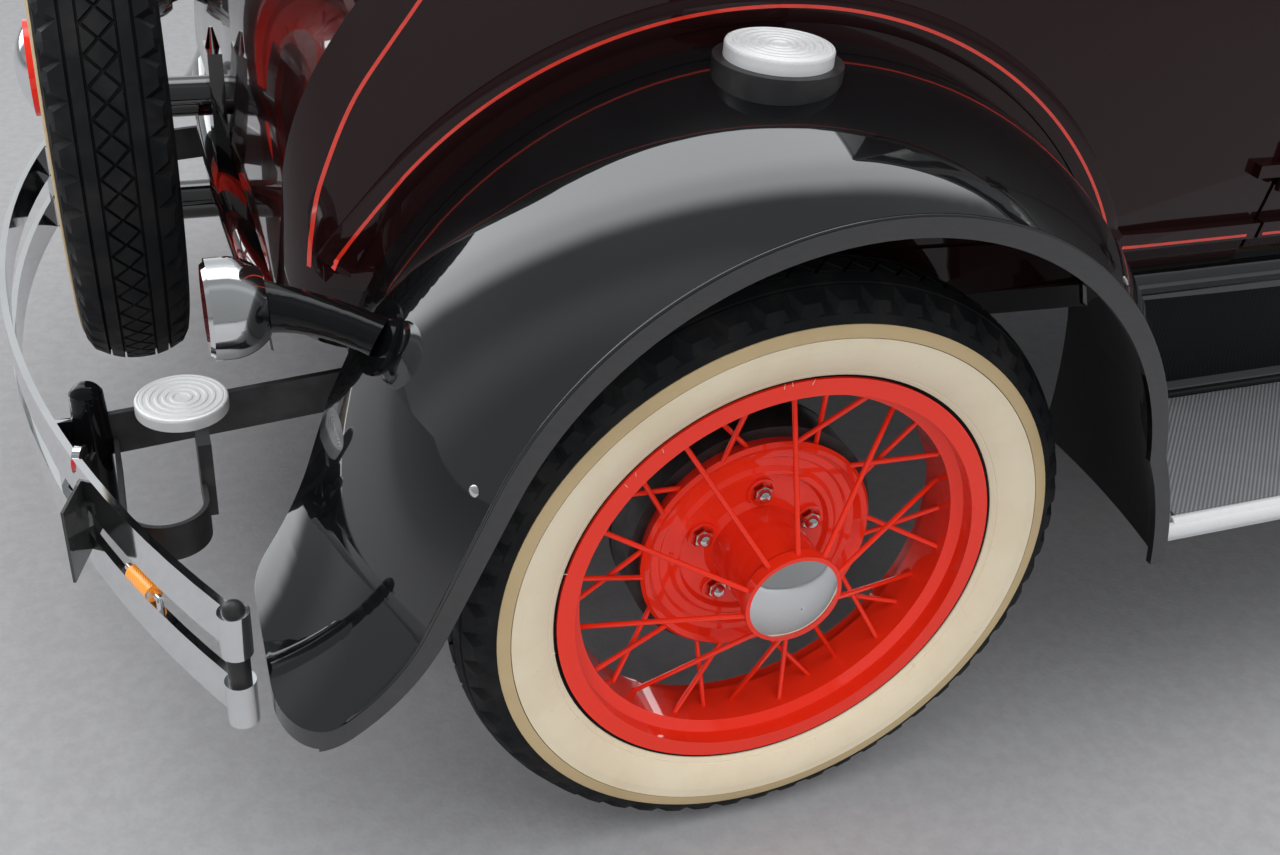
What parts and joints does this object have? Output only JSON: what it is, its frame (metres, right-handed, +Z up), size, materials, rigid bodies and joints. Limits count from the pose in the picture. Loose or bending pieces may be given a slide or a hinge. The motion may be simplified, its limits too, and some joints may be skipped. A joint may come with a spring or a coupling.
{
  "type": "rumble seat coupe",
  "caption": "Two-door steel coupe of about 1930 with a folding rear outside seat, wire wheels, flowing fenders and a rear spare; doors, hood, lid and steering move",
  "frame": {"origin": "on the ground under the middle of the bounding box", "axes": "+X forward, +Y to the driver's left, +Z up"},
  "size_m": [3.9578, 1.702, 1.7948],
  "materials": {
    "body_paint": "gloss maroon black enamel with thin red coach lines",
    "fender_paint": "gloss black enamel",
    "chassis_paint": "satin black",
    "roof_fabric": "grained black roof cloth with painted rails",
    "floor_wood": "dark stained boards and painted seat boxes",
    "window_glass": "clear plate glass",
    "bright_plate": "polished plating",
    "core_metal": "satin black fins",
    "cast_metal": "painted casting",
    "exhaust_steel": "dull steel",
    "step_aluminium": "cast aluminium with turned rings",
    "board_mat": "grey dimpled mat with a bright edge",
    "tyre_rubber": "dark grey rubber with an aged cream sidewall",
    "wheel_paint": "vermilion enamel",
    "seat_trim": "brown cloth",
    "rumble_trim": "dark leather",
    "column_paint": "gloss black",
    "wheel_grip": "hard black rubber"
  },
  "bodies": {
    "chassis": {"cowl": "body_paint", "quarter_panel_left": "body_paint", "quarter_panel_right": "body_paint", "back_panel": "body_paint", "tail_panel": "body_paint", "windshield_frame": "body_paint", "front_fender_left": "fender_paint", "front_fender_right": "fender_paint", "rear_fender_left": "fender_paint", "rear_fender_right": "fender_paint", "splash_aprons": "fender_paint", "frame_chassis": "chassis_paint", "front_axle": "chassis_paint", "rear_axle": "chassis_paint", "spare_carrier": "chassis_paint", "roof": "roof_fabric", "floor_pan": "floor_wood", "seat_boxes": "floor_wood", "fixed_glass": "window_glass", "radiator_shell": "bright_plate", "headlamps": "bright_plate", "front_bumper": "bright_plate", "rear_bumper": "bright_plate", "tail_lamps": "bright_plate", "radiator_core": "core_metal", "engine_block": "cast_metal", "exhaust": "exhaust_steel", "step_plates": "step_aluminium", "running_boards": "board_mat", "spare_tyre": "tyre_rubber", "spare_wire_wheel": "wheel_paint", "bench_cushion": "seat_trim", "bench_back": "seat_trim", "rumble_cushion": "rumble_trim", "steering_column": "column_paint"},
    "knuckle_left_body": {"knuckle_left": "chassis_paint"},
    "knuckle_right_body": {"knuckle_right": "chassis_paint"},
    "wheel_front_left": {"tyre_front_left": "tyre_rubber", "wire_wheel_front_left": "wheel_paint", "brake_drum_front_left": "cast_metal"},
    "wheel_front_right": {"tyre_front_right": "tyre_rubber", "wire_wheel_front_right": "wheel_paint", "brake_drum_front_right": "cast_metal"},
    "wheel_rear_left": {"tyre_rear_left": "tyre_rubber", "wire_wheel_rear_left": "wheel_paint", "brake_drum_rear_left": "cast_metal"},
    "wheel_rear_right": {"tyre_rear_right": "tyre_rubber", "wire_wheel_rear_right": "wheel_paint", "brake_drum_rear_right": "cast_metal"},
    "steering_wheel_body": {"steering_wheel": "wheel_grip"},
    "tie_rod_body": {"tie_rod": "chassis_paint"},
    "door_left_body": {"door_left": "body_paint", "door_glass_left": "window_glass"},
    "door_right_body": {"door_right": "body_paint", "door_glass_right": "window_glass"},
    "hood_left_body": {"hood_left": "body_paint"},
    "hood_right_body": {"hood_right": "body_paint"},
    "rumble_lid_body": {"rumble_lid": "body_paint", "rumble_back": "rumble_trim"}
  },
  "joints": [
    {"name": "steer_left", "type": "hinge", "parent": "chassis", "child": "knuckle_left_body", "pos_m": [1.429, 0.59, 0.362], "axis": [0, 0, 1], "range_deg": [-28, 28]},
    {"name": "steer_right", "type": "hinge", "parent": "chassis", "child": "knuckle_right_body", "pos_m": [1.429, -0.59, 0.362], "axis": [0, 0, 1], "range_deg": [-28, 28]},
    {"name": "tie_rod_slide", "type": "slide", "parent": "chassis", "child": "tie_rod_body", "axis": [0, 1, 0], "range_m": [-0.0735, 0.0735]},
    {"name": "steering_wheel_turn", "type": "hinge", "parent": "chassis", "child": "steering_wheel_body", "pos_m": [0, 0.33, 1.12], "axis": [0.8427, 0, -0.5384], "range_deg": [-365, 365]},
    {"name": "front_left_spin", "type": "hinge", "parent": "knuckle_left_body", "child": "wheel_front_left", "pos_m": [1.429, 0.711, 0.362], "axis": [0, 1, 0], "continuous": true},
    {"name": "front_right_spin", "type": "hinge", "parent": "knuckle_right_body", "child": "wheel_front_right", "pos_m": [1.429, -0.711, 0.362], "axis": [0, 1, 0], "continuous": true},
    {"name": "rear_left_spin", "type": "hinge", "parent": "chassis", "child": "wheel_rear_left", "pos_m": [-1.2, 0.711, 0.362], "axis": [0, 1, 0], "continuous": true},
    {"name": "rear_right_spin", "type": "hinge", "parent": "chassis", "child": "wheel_rear_right", "pos_m": [-1.2, -0.711, 0.362], "axis": [0, 1, 0], "continuous": true},
    {"name": "door_left_hinge", "type": "hinge", "parent": "chassis", "child": "door_left_body", "pos_m": [-0.528, 0.629, 1], "axis": [0, 0, 1], "range_deg": [0, 70]},
    {"name": "door_right_hinge", "type": "hinge", "parent": "chassis", "child": "door_right_body", "pos_m": [-0.528, -0.629, 1], "axis": [0, 0, -1], "range_deg": [0, 70]},
    {"name": "hood_left_hinge", "type": "hinge", "parent": "chassis", "child": "hood_left_body", "pos_m": [0.56, 0, 1.215], "axis": [0.9994, 0, -0.0337], "range_deg": [0, 50]},
    {"name": "hood_right_hinge", "type": "hinge", "parent": "chassis", "child": "hood_right_body", "pos_m": [0.56, 0, 1.215], "axis": [-0.9994, 0, 0.0337], "range_deg": [0, 50]},
    {"name": "rumble_lid_hinge", "type": "hinge", "parent": "chassis", "child": "rumble_lid_body", "pos_m": [-1.582, 0, 0.97214], "axis": [0, -1, 0], "range_deg": [0, 80]}
  ],
  "couplings": [
    {"joint": "steer_right", "follows": "steer_left", "ratio": 1},
    {"joint": "tie_rod_slide", "follows": "steer_left", "m_per_rad": -0.15},
    {"joint": "steering_wheel_turn", "follows": "steer_left", "ratio": -13}
  ]
}
